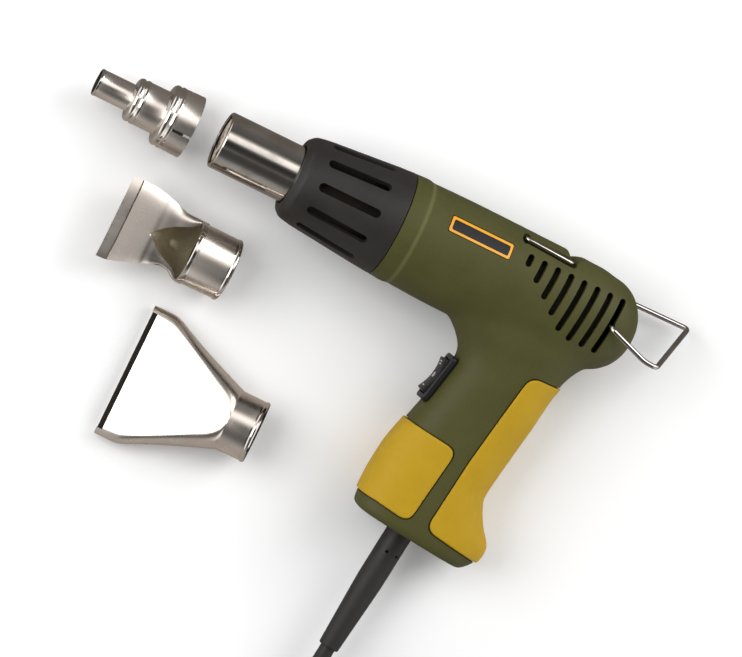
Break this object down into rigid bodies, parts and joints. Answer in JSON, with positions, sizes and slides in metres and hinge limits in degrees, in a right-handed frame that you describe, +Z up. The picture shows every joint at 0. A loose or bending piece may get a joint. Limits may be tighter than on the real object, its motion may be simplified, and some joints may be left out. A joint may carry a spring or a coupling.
{
  "type": "hot air tool",
  "caption": "Pistol-grip hot air tool lying on its side with slotted heat guard, steel outlet tube, rocker switch, wire bails, loose nozzles and a coiled mains lead.",
  "frame": {"origin": "middle of the foot of the box round the tool and its nozzles, on the table, without the lead", "axes": "+X along the barrel from the mouth to the rear, +Y from the handle to the top of the barrel, +Z up from the table, towards the tool's left side"},
  "size_m": [0.3457, 0.3025, 0.0451],
  "materials": {
    "olive_shell": "fine grain",
    "ochre_grip": "soft matt",
    "black_plastic": "satin",
    "black_rubber": "matt",
    "polished_steel": "polished",
    "zinc_steel": "dull",
    "ceramic": "matt",
    "mica": "matt",
    "brass": "bright",
    "board": "matt",
    "pale_wire": "matt",
    "label": "printed, left bare"
  },
  "bodies": {
    "tool": {"housing_left": "olive_shell", "housing_right": "olive_shell", "front_grip_left": "ochre_grip", "front_grip_right": "ochre_grip", "rear_grip_left": "ochre_grip", "rear_grip_right": "ochre_grip", "heat_guard": "black_plastic", "air_guide": "black_plastic", "motor_mount": "black_plastic", "switch_body": "black_plastic", "cord_clamp": "black_plastic", "plug_body": "black_plastic", "strain_relief": "black_rubber", "cord_inner": "black_rubber", "cord_lead": "black_rubber", "cord_coil": "black_rubber", "cord_tail": "black_rubber", "cord_tie": "black_rubber", "nozzle_tube": "polished_steel", "tube_flange": "zinc_steel", "thermal_cutout": "zinc_steel", "motor_can": "zinc_steel", "heating_element": "zinc_steel", "clamp_screw_1": "zinc_steel", "clamp_screw_2": "zinc_steel", "housing_screw_1": "zinc_steel", "housing_screw_2": "zinc_steel", "housing_screw_3": "zinc_steel", "housing_screw_4": "zinc_steel", "housing_screw_5": "zinc_steel", "heater_core": "ceramic", "terminal_ring": "ceramic", "mica_sleeve": "mica", "switch_terminal_1": "brass", "switch_terminal_2": "brass", "switch_terminal_3": "brass", "plug_pin_1": "brass", "plug_pin_2": "brass", "rectifier_board": "board", "lead_live": "pale_wire", "lead_neutral": "pale_wire", "label_plate": "label"},
    "rocker": {"switch_rocker": "black_plastic"},
    "rotor": {"motor_shaft": "polished_steel", "fan_impeller": "black_plastic"},
    "hang_wire": {"hanging_bail": "polished_steel"},
    "stand_wire": {"stand_bail": "polished_steel"},
    "reducer": {"reducer_nozzle": "polished_steel"},
    "reflector": {"reflector_nozzle": "polished_steel"},
    "slot_mouth": {"slot_nozzle": "polished_steel"}
  },
  "joints": [
    {"name": "rocker_tilt", "type": "hinge", "parent": "tool", "child": "rocker", "pos_m": [0.04476, 0.02451, 0.02014], "axis": [0, -0.0501, 0.9987], "range_deg": [-11, 11]},
    {"name": "rotor_spin", "type": "hinge", "parent": "tool", "child": "rotor", "pos_m": [0.02974, 0.07317, 0.02258], "axis": [1, 0, 0], "continuous": true},
    {"name": "hang_wire_swing", "type": "hinge", "parent": "tool", "child": "hang_wire", "pos_m": [0.04964, 0.09214, 0.02353], "axis": [0, -0.0501, 0.9987], "range_deg": [0, 110]},
    {"name": "stand_wire_swing", "type": "hinge", "parent": "tool", "child": "stand_wire", "pos_m": [0.09664, 0.08042, 0.02474], "axis": [0, -0.355, 0.9349], "range_deg": [-30, 110]},
    {"name": "reducer_lift", "type": "slide", "parent": "tool", "child": "reducer", "axis": [0, 0, 1], "range_m": [0, 0.12]},
    {"name": "reflector_lift", "type": "slide", "parent": "tool", "child": "reflector", "axis": [0, 0, 1], "range_m": [0, 0.12]},
    {"name": "slot_mouth_lift", "type": "slide", "parent": "tool", "child": "slot_mouth", "axis": [0, 0, 1], "range_m": [0, 0.12]}
  ]
}
